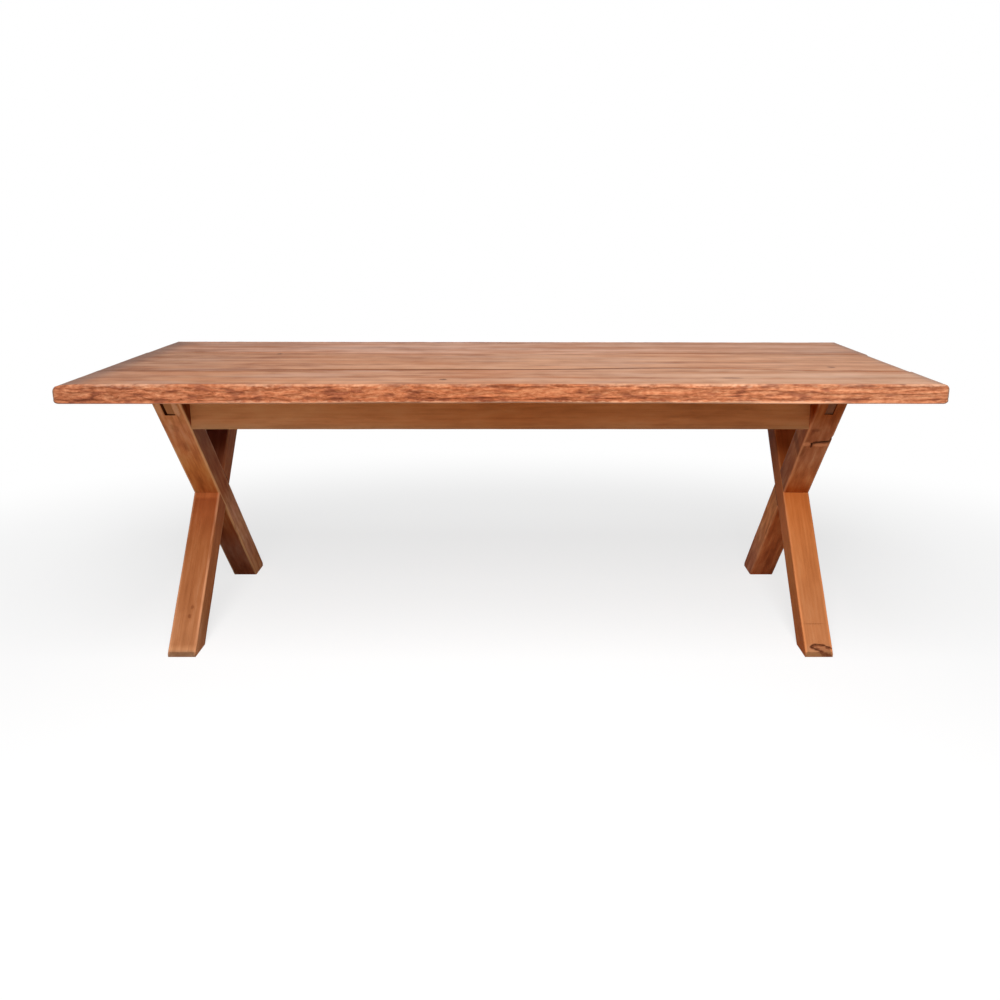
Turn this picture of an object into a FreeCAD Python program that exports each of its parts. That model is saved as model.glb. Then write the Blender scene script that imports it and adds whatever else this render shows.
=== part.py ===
"""Sawbuck dining table, modelled in millimetres as its separate timbers, pegs and screws.

Three tapering heart planks, edge-joined with loose tongues, lie on two X frames. Each frame is two
legs cross-lapped at half thickness and a bearer whose tenons run right through the leg tops. Two
aprons tie the frames together, and a centre bearer ties the aprons.

Frame: +X along the table, +Y to the back, +Z up, origin on the floor below the centre.
"""

import FreeCAD
import Part

import math
import os

# Overall sizes
table_length = 2200.0
table_height = 760.0
top_thickness = 48.0

# Planks taper as the logs did, so each has a width at the left end and at the right end.
# The front plank also bows into its seam, and swells there around an old branch.
front_plank_left_width = 240.0
front_plank_right_width = 220.0
front_plank_bow = 28.0
front_plank_swell = 37.0
front_plank_swell_length = 840.0
front_plank_swell_middle = 480.0
middle_plank_left_width = 380.0
middle_plank_right_width = 349.0
back_plank_left_width = 280.0
back_plank_right_width = 306.0
middle_plank_right_inset = 6.0
back_plank_left_inset = 3.0
seam_gap = 1.0
seam_chamfer = 2.0
end_round_top = 12.0
end_round_bottom = 6.0
end_round_facets = 4
end_corner = 4.0

# Hewn outer edges of the front and back planks, cut in overlapping chisel bites
hewn_bite_length = 44.0
hewn_relief = 5.0
hewn_arris = 7.0
hewn_wander_share = 0.3
hewn_row_shares = (0.0, 0.17, 0.40, 0.62, 0.84, 1.0)

# Loose tongues that line the planks up
tongue_width = 24.0
tongue_thickness = 10.0
tongue_end_inset = 90.0
tongue_clearance = 0.2
tongue_groove_spare = 1.0

# X frames. They and their rails stand off the middle of the top by the offset.
frame_offset = -5.0
end_overhang = 198.5
leg_thickness = 75.0
leg_depth = 75.0
foot_half_span = 327.0
top_half_span = 293.0
toe_height = 15.0
leg_arris = 4.0
lap_clearance = 0.15

# Bearers across the top of each frame, with tenons through the legs
bearer_thickness = 44.0
bearer_height = 72.0
tenon_thickness = 20.0
tenon_height = 33.0
tenon_drop = 23.0
tenon_recess = 4.0
mortise_clearance = 1.2
mortise_slack = 5.0
mortise_wall = 4.0

# Aprons between the frames, stub-tenoned into the legs, and the bearer between the aprons
apron_thickness = 32.0
apron_height = 105.0
apron_arris = 3.0
apron_tenon_thickness = 18.0
apron_tenon_height = 60.0
apron_tenon_rise = 10.0
stub_clearance = 0.3
centre_bearer_thickness = 44.0
centre_bearer_height = 60.0
centre_tenon_length = 14.0
centre_tenon_thickness = 20.0
centre_tenon_height = 36.0

# Wooden pegs, driven from the outer face of each frame and stopped short of the inner face
lap_peg_radius = 8.0
tenon_peg_radius = 5.0
peg_stop = 12.0
peg_clearance = 0.1
peg_crown = 1.0

# Screws that hold the planks down, let up into bearers and aprons from below
screw_radius = 2.5
screw_head_radius = 5.0
screw_head_height = 3.5
screw_slot_width = 1.2
screw_slot_depth = 1.2
screw_grip = 33.0
screw_bite = 17.0
screw_point = 6.0
screw_clearance = 0.2
screw_counterbore_radius = 7.0
bearer_screw_spacing = 90.0
apron_screw_spacing = 400.0
apron_screw_count = 4

# Length by which every cutting tool passes the faces that it opens
overrun = 5.0

# Heights and spans that follow from the sizes above
table_width = front_plank_left_width + middle_plank_left_width + back_plank_left_width
half_length = table_length / 2
half_width = table_width / 2
under_top = table_height - top_thickness
frame_outer = half_length - end_overhang
frame_inner = frame_outer - leg_thickness
frame_middle = frame_outer - leg_thickness / 2
leg_lean = math.atan2(under_top, foot_half_span + top_half_span)
leg_half_run = leg_depth / 2 / math.sin(leg_lean)
lap_height = foot_half_span * math.tan(leg_lean)
tenon_top = under_top - tenon_drop
tenon_bottom = tenon_top - tenon_height
bearer_bottom = under_top - bearer_height
apron_bottom = under_top - apron_height
apron_tenon_bottom = apron_bottom + apron_tenon_rise
apron_tenon_length = (leg_thickness - tenon_thickness) / 2 - mortise_slack - mortise_wall
centre_bearer_bottom = under_top - centre_bearer_height
centre_tenon_bottom = centre_bearer_bottom + (centre_bearer_height - centre_tenon_height) / 2


def leg_centre(z):
    """Y of a leg's centre line at a height, on the leg whose foot is at the front."""
    return z / math.tan(leg_lean) - foot_half_span


# The aprons' lower outer corners are in line with the faces of the upper legs
apron_outer = leg_centre(apron_bottom) + leg_half_run
apron_inner = apron_outer - apron_thickness
apron_middle = apron_outer - apron_thickness / 2


# Shared operations


def vector(x, y, z):
    return FreeCAD.Vector(x, y, z)


def closed_wire(points):
    return Part.makePolygon(points + points[:1])


def yz_prism(outline, x_start, x_end):
    """A straight timber whose (Y, Z) outline runs from x_start to x_end."""
    wire = closed_wire([vector(x_start, y, z) for y, z in outline])
    return Part.Face(wire).extrude(vector(x_end - x_start, 0, 0))


def block(x_range, y_range, z_range):
    """A box from its lowest and highest X, Y and Z."""
    sizes = [high - low for low, high in (x_range, y_range, z_range)]
    return Part.makeBox(*sizes, vector(x_range[0], y_range[0], z_range[0]))


def around(middle, half):
    return middle - half, middle + half


def z_rod(radius, x, y, z_low, z_high):
    return Part.makeCylinder(radius, z_high - z_low, vector(x, y, z_low))


def ease(solid, radius, wanted):
    """Rounds the edges of a solid that the test picks out by their bounding box."""
    return solid.makeFillet(radius, [edge for edge in solid.Edges if wanted(edge.BoundBox)])


# Seams and edges of the top, as Y at a station along X


def between_ends(left_value, right_value, x):
    share = (x + half_length) / table_length
    return left_value + (right_value - left_value) * share


def front_edge(x):
    return -half_width


def front_seam(x):
    tapered = between_ends(front_plank_left_width, front_plank_right_width, x)
    bow = front_plank_bow * (1 - (x / half_length) ** 2)
    from_swell = abs(x - front_plank_swell_middle) / front_plank_swell_length
    swell = front_plank_swell * math.cos(math.pi * min(from_swell, 1 / 2)) ** 2
    return front_edge(x) + tapered + bow + swell


def back_seam(x):
    left = front_plank_left_width + middle_plank_left_width
    right = front_plank_right_width + middle_plank_right_width
    return front_edge(x) + between_ends(left, right, x)


def back_edge(x):
    return back_seam(x) + between_ends(back_plank_left_width, back_plank_right_width, x)


# Planks


def bite_share(station, row):
    """How deep one chisel bite is, from 0 to 1: uneven, and the same on every build."""
    return (station * (math.sqrt(5) - 1) / 2 + row * row * math.sqrt(2)) % 1


def hewn_side(y, inward, station, z_low, z_high, corner):
    """The (Y, Z) points of a hewn edge from bottom to top, cut back by its bites."""
    points = []
    arrises = (0, len(hewn_row_shares) - 1)
    for row, share in enumerate(hewn_row_shares):
        depth = hewn_relief * bite_share(station, row)
        if row in arrises:
            depth = hewn_arris * (1 + bite_share(station, row)) / 2
        points.append((y + inward * (depth + corner), z_low + share * (z_high - z_low)))
    return points


def sawn_side(y, inward, z_low, z_high):
    """The (Y, Z) points of a sawn seam edge from bottom to top, with its eased top corner."""
    inner = y + inward * seam_gap / 2
    chamfer_foot = (inner, z_high - seam_chamfer)
    chamfer_head = (inner + inward * seam_chamfer, z_high)
    return [(inner, z_low), chamfer_foot, chamfer_head]


def bite_stations():
    """Stations along X between the chisel bites, the same for all planks so that seams match."""
    stations = []
    bites = max(1, round(table_length / hewn_bite_length))
    for bite in range(1, bites):
        wander = hewn_wander_share * (2 * bite_share(bite, 0) - 1)
        stations.append(-half_length + table_length * (bite + wander) / bites)
    return stations


def plank_stations(left_end, right_end):
    """Stations along X, each with the share of the end rounding there: 1 on the end faces."""
    rounded = []
    for facet in range(end_round_facets + 1):
        angle = math.pi / 2 * facet / end_round_facets
        rounded.append((end_round_top * (1 - math.cos(angle)), 1 - math.sin(angle)))
    stations = [(left_end + distance, share) for distance, share in rounded]
    unrounded = left_end + end_round_top, right_end - end_round_top
    stations += [(x, 0) for x in bite_stations() if unrounded[0] < x < unrounded[1]]
    stations += [(right_end - distance, share) for distance, share in reversed(rounded)]
    return stations


def skin(ring, next_ring):
    """Flat triangles that join two neighbouring sections of a plank."""
    triangles = []
    for corner in range(len(ring)):
        low, high = ring[corner - 1], ring[corner]
        next_low, next_high = next_ring[corner - 1], next_ring[corner]
        triangles += [(low, high, next_high), (low, next_high, next_low)]
    return [Part.Face(closed_wire(list(triangle))) for triangle in triangles]


def plank(near, far, near_hewn, far_hewn, left_end, right_end):
    """A plank skinned over its sections. near and far give the Y of its edges at a station."""
    rings = []
    for number, (x, round_share) in enumerate(plank_stations(left_end, right_end)):
        z_low = under_top + end_round_bottom * round_share
        z_high = table_height - end_round_top * round_share
        corner = end_corner * round_share
        sides = []
        for y, inward, hewn in ((near(x), 1, near_hewn), (far(x), -1, far_hewn)):
            if hewn:
                sides.append(hewn_side(y, inward, number, z_low, z_high, corner))
            else:
                sides.append(sawn_side(y, inward, z_low, z_high))
        near_side, far_side = sides
        rings.append([vector(x, y, z) for y, z in far_side + near_side[::-1]])
    faces = [Part.Face(closed_wire(ring)) for ring in (rings[0], rings[-1])]
    for ring, next_ring in zip(rings, rings[1:]):
        faces += skin(ring, next_ring)
    shell = Part.makeShell(faces)
    shell.sewShape()
    return Part.makeSolid(shell).removeSplitter()


def along_seam(seam, width, thickness, end_inset):
    """A bar centred on a seam at mid thickness, sawn to follow it, stopped short of both ends."""
    left, right = -half_length + end_inset, half_length - end_inset
    stations = [left] + [x for x in bite_stations() if left < x < right] + [right]
    z = under_top + (top_thickness - thickness) / 2
    near = [vector(x, seam(x) - width / 2, z) for x in stations]
    far = [vector(x, seam(x) + width / 2, z) for x in stations]
    return Part.Face(closed_wire(near + far[::-1])).extrude(vector(0, 0, thickness))


def tongue(seam):
    return along_seam(seam, tongue_width, tongue_thickness, tongue_end_inset)


def tongue_groove(seam):
    width = tongue_width + 2 * tongue_groove_spare
    thickness = tongue_thickness + 2 * tongue_clearance
    return along_seam(seam, width, thickness, tongue_end_inset - tongue_groove_spare)


def planks():
    """The three planks by name, grooved for the tongues and drilled for the screws."""
    inset_right = half_length - middle_plank_right_inset
    inset_left = -half_length + back_plank_left_inset
    layout = {
        "front_plank": (front_edge, front_seam, True, False, -half_length, half_length),
        "middle_plank": (front_seam, back_seam, False, False, -half_length, inset_right),
        "back_plank": (back_seam, back_edge, False, True, inset_left, half_length),
    }
    made = {}
    for name, (near, far, near_hewn, far_hewn, left_end, right_end) in layout.items():
        board = plank(near, far, near_hewn, far_hewn, left_end, right_end)
        seams = [seam for seam, hewn in ((near, near_hewn), (far, far_hewn)) if not hewn]
        cuts = [tongue_groove(seam) for seam in seams]
        cuts += [pilot_hole(x + frame_offset, y) for rail, x, y in screw_places()]
        made[name] = board.cut(cuts)
    return made


# X frames. side is -1 for the left frame and 1 for the right.


def mirrored(outline, facing):
    return [(facing * y, z) for y, z in outline]


def leg_strip(spare):
    """A leg's two long faces from floor to top, moved out by a clearance."""
    run = leg_half_run + spare / math.sin(leg_lean)
    foot, head = leg_centre(0), leg_centre(under_top)
    return [(foot - run, 0), (foot + run, 0), (head + run, under_top), (head - run, under_top)]


def leg_outline():
    """The leg's outline, level at the floor and the top, with its sharp toe cut off upright."""
    heel, top_under, top_upper = leg_strip(0)[1:]
    toe_y = leg_centre(toe_height) - leg_half_run
    return [heel, top_under, top_upper, (toe_y, toe_height), (toe_y, 0)]


def through_mortise(side):
    """The slot across both leg tops of a frame, cut with most of its slack left of the tenon."""
    left, right = around(side * frame_middle, tenon_thickness / 2 + mortise_clearance)
    z_range = tenon_bottom - mortise_clearance, tenon_top + mortise_clearance
    return block((left - mortise_slack, right), (-half_width, half_width), z_range)


def apron_tenons(facing, spare):
    """The bar that both stub tenons of an apron are the ends of. facing is -1 at the front."""
    reach = frame_inner + apron_tenon_length + spare
    half = apron_tenon_thickness / 2 + spare
    z_range = apron_tenon_bottom - spare, apron_tenon_bottom + apron_tenon_height + spare
    return block((-reach, reach), around(facing * apron_middle, half), z_range)


def leg(side, facing):
    """One leg. facing is 1 for the leg whose foot is at the front and -1 for its partner.

    Both frames are lapped alike: the front-footed leg keeps the left half of the lap.
    """
    outer, inner, middle = side * frame_outer, side * frame_inner, side * frame_middle
    timber = yz_prism(mirrored(leg_outline(), facing), inner, outer)
    timber = ease(timber, leg_arris, lambda box: box.ZLength > under_top / 2)
    lapped_face = middle + facing * leg_thickness
    cuts = [
        yz_prism(mirrored(leg_strip(lap_clearance), -facing), middle, lapped_face),
        through_mortise(side),
        apron_tenons(facing, stub_clearance),
        lap_peg(side, peg_clearance),
        tenon_peg(side, facing, peg_clearance),
    ]
    return timber.cut(cuts)


def bearer(side):
    """The rail across a frame's top: shoulders cut to the legs' lean, tenons right through them."""
    middle = side * frame_middle

    def spanning(offset, low, high, thickness):
        low_reach, high_reach = leg_centre(low) + offset, leg_centre(high) + offset
        outline = [(-low_reach, low), (low_reach, low), (high_reach, high), (-high_reach, high)]
        return yz_prism(outline, *around(middle, thickness / 2))

    body = spanning(-leg_half_run, bearer_bottom, under_top, bearer_thickness)
    tenons = spanning(leg_half_run - tenon_recess, tenon_bottom, tenon_top, tenon_thickness)
    cuts = [tenon_peg(side, facing, peg_clearance) for facing in (-1, 1)]
    cuts += [screw_hole(middle, y, bearer_bottom) for y in bearer_screw_rows()]
    return body.fuse(tenons).removeSplitter().cut(cuts)


# Aprons and the centre bearer. facing is -1 for the front apron and 1 for the back one.


def centre_tenons(spare):
    """The bar that both tenons of the centre bearer are the ends of."""
    half = centre_tenon_thickness / 2 + spare
    reach = apron_inner + centre_tenon_length + spare
    z_range = centre_tenon_bottom - spare, centre_tenon_bottom + centre_tenon_height + spare
    return block((-half, half), (-reach, reach), z_range)


def apron(facing):
    y_range = around(facing * apron_middle, apron_thickness / 2)
    board = block((-frame_inner, frame_inner), y_range, (apron_bottom, under_top))
    board = ease(board, apron_arris, lambda box: box.XLength > frame_inner and box.ZMax < under_top)
    cuts = [screw_hole(x, facing * apron_middle, apron_bottom) for x in apron_screw_columns()]
    cuts.append(centre_tenons(stub_clearance))
    return board.fuse(apron_tenons(facing, 0)).removeSplitter().cut(cuts)


def centre_bearer():
    half = centre_bearer_thickness / 2
    body = block((-half, half), (-apron_inner, apron_inner), (centre_bearer_bottom, under_top))
    cuts = [screw_hole(0, y, centre_bearer_bottom) for y in bearer_screw_rows()]
    return body.fuse(centre_tenons(0)).removeSplitter().cut(cuts)


# Pegs. With a clearance they are the holes that the pegs go into.


def peg(radius, side, y, z, spare):
    """A peg with a crowned head just proud of its frame's outer face."""
    head = frame_outer + (overrun if spare else peg_crown)
    tip = frame_inner + peg_stop - spare
    rod = Part.makeCylinder(radius + spare, head - tip, vector(tip, y, z), vector(1, 0, 0))
    if not spare:
        rod = ease(rod, peg_crown, lambda box: box.XMin > frame_outer)
    return rod if side == 1 else rod.mirror(vector(0, 0, 0), vector(1, 0, 0))


def lap_peg(side, spare):
    return peg(lap_peg_radius, side, 0, lap_height, spare)


def tenon_peg(side, facing, spare):
    """A peg through the middle of a tenon. facing is -1 at the front, 1 at the back."""
    z = (tenon_bottom + tenon_top) / 2
    return peg(tenon_peg_radius, side, facing * leg_centre(z), z, spare)


# Screws


def bearer_screw_rows():
    return -bearer_screw_spacing, 0, bearer_screw_spacing


def apron_screw_columns():
    first = -apron_screw_spacing * (apron_screw_count - 1) / 2
    return [first + apron_screw_spacing * number for number in range(apron_screw_count)]


def screw_places():
    """Every screw as the name of its rail and its X and Y."""
    places = []
    bearers = {"left_bearer": -frame_middle, "centre_bearer": 0, "right_bearer": frame_middle}
    for rail, x in bearers.items():
        places += [(rail, x, y) for y in bearer_screw_rows()]
    for rail, facing in (("front_apron", -1), ("back_apron", 1)):
        places += [(rail, x, facing * apron_middle) for x in apron_screw_columns()]
    return places


def screw(x, y):
    """A slotted countersunk wood screw, head down in its counterbore, point up in the plank."""
    head = under_top - screw_grip
    point = under_top + screw_bite
    profile = [
        vector(0, 0, head),
        vector(screw_head_radius, 0, head),
        vector(screw_radius, 0, head + screw_head_height),
        vector(screw_radius, 0, point - screw_point),
        vector(0, 0, point),
    ]
    body = Part.Face(closed_wire(profile)).revolve(vector(0, 0, 0), vector(0, 0, 1), 360)
    slot_length = around(0, screw_head_radius + overrun)
    slot_depth = head - overrun, head + screw_slot_depth
    slot = block(slot_length, around(0, screw_slot_width / 2), slot_depth)
    return body.cut(slot).translated(vector(x, y, 0))


def screw_hole(x, y, rail_bottom):
    """Counterbore, countersink and clearance hole for a screw through a rail."""
    seat = under_top - screw_grip
    shank = screw_radius + screw_clearance
    head = screw_head_radius + screw_clearance
    cone = Part.makeCone(head, shank, screw_head_height, vector(x, y, seat))
    bore = z_rod(screw_counterbore_radius, x, y, rail_bottom - overrun, seat)
    return bore.fuse([cone, z_rod(shank, x, y, seat, under_top + overrun)])


def pilot_hole(x, y):
    """Blind hole in a plank's underside for a screw's threaded end."""
    shank = screw_radius + screw_clearance
    return z_rod(shank, x, y, under_top - overrun, under_top + screw_bite + screw_clearance)


# The whole table


def frames_and_rails():
    """All that carries the top, by name, built about the middle."""
    parts = {}
    for side_name, side in (("left", -1), ("right", 1)):
        parts[side_name + "_front_leg"] = leg(side, 1)
        parts[side_name + "_back_leg"] = leg(side, -1)
        parts[side_name + "_bearer"] = bearer(side)
        parts[side_name + "_lap_peg"] = lap_peg(side, 0)
        parts[side_name + "_front_tenon_peg"] = tenon_peg(side, -1, 0)
        parts[side_name + "_back_tenon_peg"] = tenon_peg(side, 1, 0)
    parts["front_apron"] = apron(-1)
    parts["back_apron"] = apron(1)
    parts["centre_bearer"] = centre_bearer()
    screws = {}
    for rail, x, y in screw_places():
        screws.setdefault(rail + "_screws", []).append(screw(x, y))
    parts.update({node: Part.makeCompound(group) for node, group in screws.items()})
    return parts


def table():
    parts = planks()
    parts["front_tongue"] = tongue(front_seam)
    parts["back_tongue"] = tongue(back_seam)
    for node, shape in frames_and_rails().items():
        parts[node] = shape.translated(vector(frame_offset, 0, 0))
    return parts


os.makedirs("parts", exist_ok=True)
for node, shape in table().items():
    shape.exportStep(os.path.join("parts", node + ".step"))
    print(node, "solids", len(shape.Solids), "valid", shape.isValid(), "volume", round(shape.Volume))
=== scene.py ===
import bmesh
import bpy
import math
from mathutils import Matrix, Vector, noise


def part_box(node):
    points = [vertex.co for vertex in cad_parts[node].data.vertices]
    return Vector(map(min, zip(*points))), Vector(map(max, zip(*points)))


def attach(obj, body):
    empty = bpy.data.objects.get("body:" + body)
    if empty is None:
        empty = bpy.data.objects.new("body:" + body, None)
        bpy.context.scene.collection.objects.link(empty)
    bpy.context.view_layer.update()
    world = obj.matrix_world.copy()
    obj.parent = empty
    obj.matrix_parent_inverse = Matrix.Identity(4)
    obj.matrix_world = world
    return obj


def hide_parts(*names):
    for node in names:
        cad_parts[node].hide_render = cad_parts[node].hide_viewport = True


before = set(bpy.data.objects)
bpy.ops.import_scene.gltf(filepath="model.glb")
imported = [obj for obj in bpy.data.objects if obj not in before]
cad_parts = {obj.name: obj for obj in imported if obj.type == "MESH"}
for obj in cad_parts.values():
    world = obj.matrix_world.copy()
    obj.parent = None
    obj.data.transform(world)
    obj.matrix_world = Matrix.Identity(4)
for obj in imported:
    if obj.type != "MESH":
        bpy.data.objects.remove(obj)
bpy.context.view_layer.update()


# Legs. Two squared hardwood timbers to each X frame, crossed and halved into each other.
# Sawn, planed by hand and oiled; the long arrises are rubbed round, and paler with wear and a painted
# highlight; the feet cut level.

under_top = 0.712
frame_offset = -0.005
frame_middle = 0.864
leg_thickness = 0.075
leg_depth = 0.075
leg_arris = 0.004
leg_station = 0.008
foot_half_span = 0.327
top_half_span = 0.293
toe_height = 0.015
lap_clearance = 0.00015
lap_peg_radius = 0.0081
tenon_peg_radius = 0.0051
peg_stop = 0.0119
tenon_middle_z = 0.6725
mortise_low = {"left": 0.6530, "right": 0.6554}
mortise_high = 0.6902
mortise_left_half = {"left": 0.0162, "right": 0.0116}
mortise_right_half = 0.0112
mortise_reach = 0.45
apron_height = 0.105
apron_half_thickness = 0.016
apron_stub_half_thickness = 0.009
apron_stub_half_height = 0.030
apron_stub_rise = -0.0125
apron_stub_length = 0.0185
stub_clearance = 0.0003
tool_overrun = 0.005
frame_inner = frame_middle - leg_thickness / 2
frame_outer = frame_middle + leg_thickness / 2
leg_lean = math.atan2(under_top, foot_half_span + top_half_span)
leg_half_run = leg_depth / 2 / math.sin(leg_lean)
lap_height = foot_half_span * math.tan(leg_lean)


class Thread:
    """One node's output in a node tree. Sums on it add Math nodes; node() adds any other node."""

    def __init__(self, tree, socket=None):
        self.tree, self.socket = tree, socket

    def node(self, kind, settings=None, sockets=None, output=0):
        made = self.tree.nodes.new(kind)
        for name, value in (settings or {}).items():
            if name == "stops":
                stops = made.color_ramp.elements
                stops.remove(stops[-1])
                stops[0].position, stops[0].color = value[0]
                for position, colour in value[1:]:
                    stops.new(position).color = colour
            else:
                setattr(made, name, value)
        for name, value in (sockets or {}).items():
            if isinstance(value, Thread):
                self.tree.links.new(value.socket, made.inputs[name])
            else:
                made.inputs[name].default_value = value
        return Thread(self.tree, made.outputs[output] if made.outputs else None)

    def also(self, output):
        return Thread(self.tree, self.socket.node.outputs[output])

    def maths(self, operation, *values):
        return self.node("ShaderNodeMath", {"operation": operation}, dict(enumerate(values)))

    def vector(self, operation, *values, output=0):
        sockets = dict(enumerate((self, *values)))
        return self.node("ShaderNodeVectorMath", {"operation": operation}, sockets, output)

    def step(self, low, high):
        sockets = {"Value": self, "From Min": low, "From Max": high}
        return self.node("ShaderNodeMapRange", {"interpolation_type": "SMOOTHSTEP"}, sockets)

    def mix(self, other, share, blend="MIX"):
        settings = {"data_type": "RGBA", "blend_type": blend}
        return self.node("ShaderNodeMix", settings, {0: share, 6: self, 7: other}, 2)

    def __add__(self, other):
        return self.maths("ADD", self, other)

    def __sub__(self, other):
        return self.maths("SUBTRACT", self, other)

    def __rsub__(self, other):
        return self.maths("SUBTRACT", other, self)

    def __mul__(self, other):
        return self.maths("MULTIPLY", self, other)

    __radd__, __rmul__ = __add__, __mul__


def stain(red, green, blue):
    """A colour as it looks on screen, from 0 to 255, in the linear values that shaders take."""
    linear = [
        level / 3294.6 if level < 10.3 else ((level / 255 + 0.055) / 1.055) ** 2.4
        for level in (red, green, blue)
    ]
    return (*linear, 1.0)


def new_finish(name):
    """A material with an empty node tree, for a finish to be built up in."""
    finish = bpy.data.materials.new(name)
    finish.use_nodes = True
    finish.node_tree.nodes.clear()
    return finish


def toned(tone, stops):
    """The colour of a tone, between stops given as (tone, colour)."""
    return tone.node("ShaderNodeValToRGB", {"stops": stops}, {0: tone})


def figure(place, stretch, detail=2.0, seed=0.0):
    """Noise drawn out by its scale along, across and through the timber, from 0 to 1."""
    drawn = place.vector("MULTIPLY_ADD", stretch, (seed, seed * 1.7, seed * 0.6))
    return place.node("ShaderNodeTexNoise", {}, {"Vector": drawn, "Scale": 1.0, "Detail": detail})


def grain_frame(centre, along, across):
    """Where a timber lies: its own X runs along the grain, Y across it, and Z out of its face."""
    along, across = Vector(along).normalized(), Vector(across).normalized()
    turn = Matrix((along, across, along.cross(across))).transposed()
    return Matrix.Translation(centre) @ turn.to_4x4()


def solid_grain(tree, lie, pith, ring, sway=0.014, seed=0.0, knots=()):
    """Where a point is in its timber, and what the growth rings, streaks, fibres and pores do there.

    A knot or stained mark is (along, across, half length, half width, share of its tone, tone).
    """
    object_place = Thread(tree).node("ShaderNodeTexCoord", output="Object")
    place = object_place.node(
        "ShaderNodeMapping",
        {"vector_type": "TEXTURE"},
        {"Vector": object_place, "Location": lie.translation, "Rotation": lie.to_euler()},
    )
    bend = figure(place, (1.7, 7.0, 7.0), 2.0, seed).also("Color").vector("SUBTRACT", (0.5, 0.5, 0.5))
    bent = bend.vector("MULTIPLY_ADD", (0.0, sway, sway), place)
    radius = bent.vector("MULTIPLY", (0.0, 1.0, 1.0)).vector("DISTANCE", (0.0, *pith), output=1)
    marks = []
    for along, across, half_along, half_across, share, tone in knots:
        off = place.vector("SUBTRACT", (along, across, 0.0))
        off = off.vector("MULTIPLY", (1 / half_along, 1 / half_across, 0.0)).vector("LENGTH", output=1)
        off = off + 0.8 * (figure(place, (140.0, 140.0, 0.0), 2.0, seed + along) - 0.5)
        radius = radius + 1.1 * half_across * off.step(2.6, 0.2)
        marks.append((share * off.step(1.15, 0.45), tone))
    growth = radius * (1 / ring) + 1.2 * figure(place, (2.3, 16.0, 16.0), 2.0, seed + 3.0)
    counted = {"W": growth.maths("FLOOR", growth)}
    year = growth.node("ShaderNodeTexWhiteNoise", {"noise_dimensions": "1D"}, counted)
    late = growth.maths("FRACT", growth).step(0.35, 0.93)
    return {
        "place": place,
        "year": year,
        "late": late,
        "mottle": figure(place, (4.5, 22.0, 22.0), 2.0, seed + 2.0),
        "streak": figure(place, (1.6, 60.0, 60.0), 3.0, seed + 5.0),
        "line": figure(place, (4.0, 190.0, 190.0), 2.0, seed + 6.0),
        "fibre": figure(place, (13.0, 760.0, 760.0), 2.0, seed + 7.0),
        "pore": figure(place, (42.0, 1500.0, 1500.0), 1.0, seed + 11.0).step(0.62, 0.74),
        "marks": marks,
    }


def faces_along(tree, lie, axis):
    """1 on faces square to one of the timber's own axes, 0 on the others; axis 0 gives the end grain."""
    outward = tuple(lie.col[axis][:3])
    facing = Thread(tree).node("ShaderNodeNewGeometry", output="Normal")
    facing = facing.vector("DOT_PRODUCT", outward, output=1)
    return facing.maths("ABSOLUTE", facing).step(0.5, 0.9)


def shaded_along(colour, along, stops):
    """A colour under painted light and shade that change along the timber, given as (length, tint) from its
    middle.
    """
    first, last = stops[0][0], stops[-1][0]
    tints = [((length - first) / (last - first), (*tint, 1.0)) for length, tint in stops]
    return colour.mix(toned((along - first) * (1 / (last - first)), tints), 1.0, "MULTIPLY")


def wood_colour(tone, tones):
    """A wood's colour between its dark, middle and pale tones, for a tone from 0 to 1."""
    return toned(tone, list(zip((0.12, 0.50, 0.88), tones)))


def finish_wood(tree, colour, roughness, height, relief, sheen):
    """Joins a wood's colour, roughness and fibre relief to its satin oil finish."""
    bump = colour.node("ShaderNodeBump", {}, {"Strength": 0.5, "Distance": relief, "Height": height})
    oil = colour.node(
        "ShaderNodeBsdfPrincipled",
        {},
        {"Base Color": colour, "Roughness": roughness, "Normal": bump, "Specular IOR Level": sheen},
    )
    colour.node("ShaderNodeOutputMaterial", {}, {"Surface": oil})


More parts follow.
